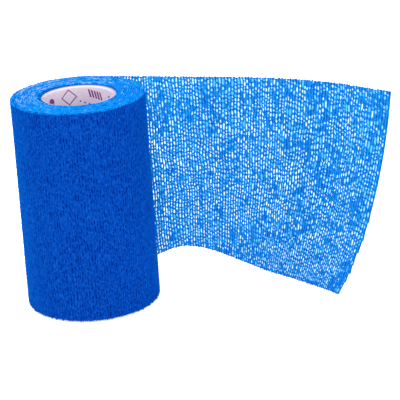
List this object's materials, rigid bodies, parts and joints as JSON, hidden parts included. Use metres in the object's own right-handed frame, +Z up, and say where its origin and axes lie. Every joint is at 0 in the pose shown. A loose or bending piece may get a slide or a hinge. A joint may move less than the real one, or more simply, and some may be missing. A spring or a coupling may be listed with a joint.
{
  "type": "hand wrap roll",
  "caption": "Standing roll of cohesive elastic hand wrap on a paper core, with a free tail that peels, stretches and folds.",
  "frame": {"origin": "on the base plane, at the middle of the bounding box; the roll's axis stands 54.7 mm to the -X side of it", "axes": "+Z up along the roll's axis, +X from the roll along its free tail, +Y towards the side on which the tail leaves the roll"},
  "size_m": [0.172, 0.0626, 0.1],
  "materials": {
    "web_outer": "matte nonwoven, crimped by elastic yarns",
    "web_inner": "matte nonwoven, slit and open where it is stretched",
    "core_liner": "coated white paper with a violet print",
    "core_board": "raw grey board",
    "starter_tape": "thin translucent tape"
  },
  "bodies": {
    "roll": {"core_printed_liner": "core_liner", "core_board_tube": "core_board", "starter_tape": "starter_tape", "wound_inner_web": "web_inner", "wound_outer_web": "web_outer"},
    "lead_turn": {"lead_inner_web": "web_inner", "lead_outer_web": "web_outer"},
    "tail_root": {"tail_root_inner_web": "web_inner", "tail_root_outer_web": "web_outer"},
    "tail_near": {"tail_near_inner_web": "web_inner", "tail_near_outer_web": "web_outer"},
    "tail_mid": {"tail_mid_inner_web": "web_inner", "tail_mid_outer_web": "web_outer"},
    "tail_end": {"tail_end_inner_web": "web_inner", "tail_end_outer_web": "web_outer"}
  },
  "joints": [
    {"name": "unwind", "type": "hinge", "parent": "roll", "child": "lead_turn", "pos_m": [-0.0547, -0.0002, 0.05], "axis": [0, 0, 1], "continuous": true},
    {"name": "tail_peel", "type": "hinge", "parent": "lead_turn", "child": "tail_root", "pos_m": [-0.04705, 0.03046, 0.05], "axis": [0, 0, 1], "range_deg": [0, 70]},
    {"name": "tail_stretch", "type": "slide", "parent": "tail_root", "child": "tail_near", "axis": [0.9703, -0.2419, 0], "range_m": [0, 0.03], "stiffness_N_per_m": 120},
    {"name": "tail_fold", "type": "hinge", "parent": "tail_near", "child": "tail_mid", "pos_m": [0.00914, 0.01612, 0.05], "axis": [0, 0, 1], "range_deg": [-42, 75], "stiffness_Nm_per_rad": 0.001},
    {"name": "tail_tip", "type": "hinge", "parent": "tail_mid", "child": "tail_end", "pos_m": [0.03229, 0.0098, 0.05], "axis": [0, 0, 1], "range_deg": [-75, 75], "stiffness_Nm_per_rad": 0.001}
  ]
}
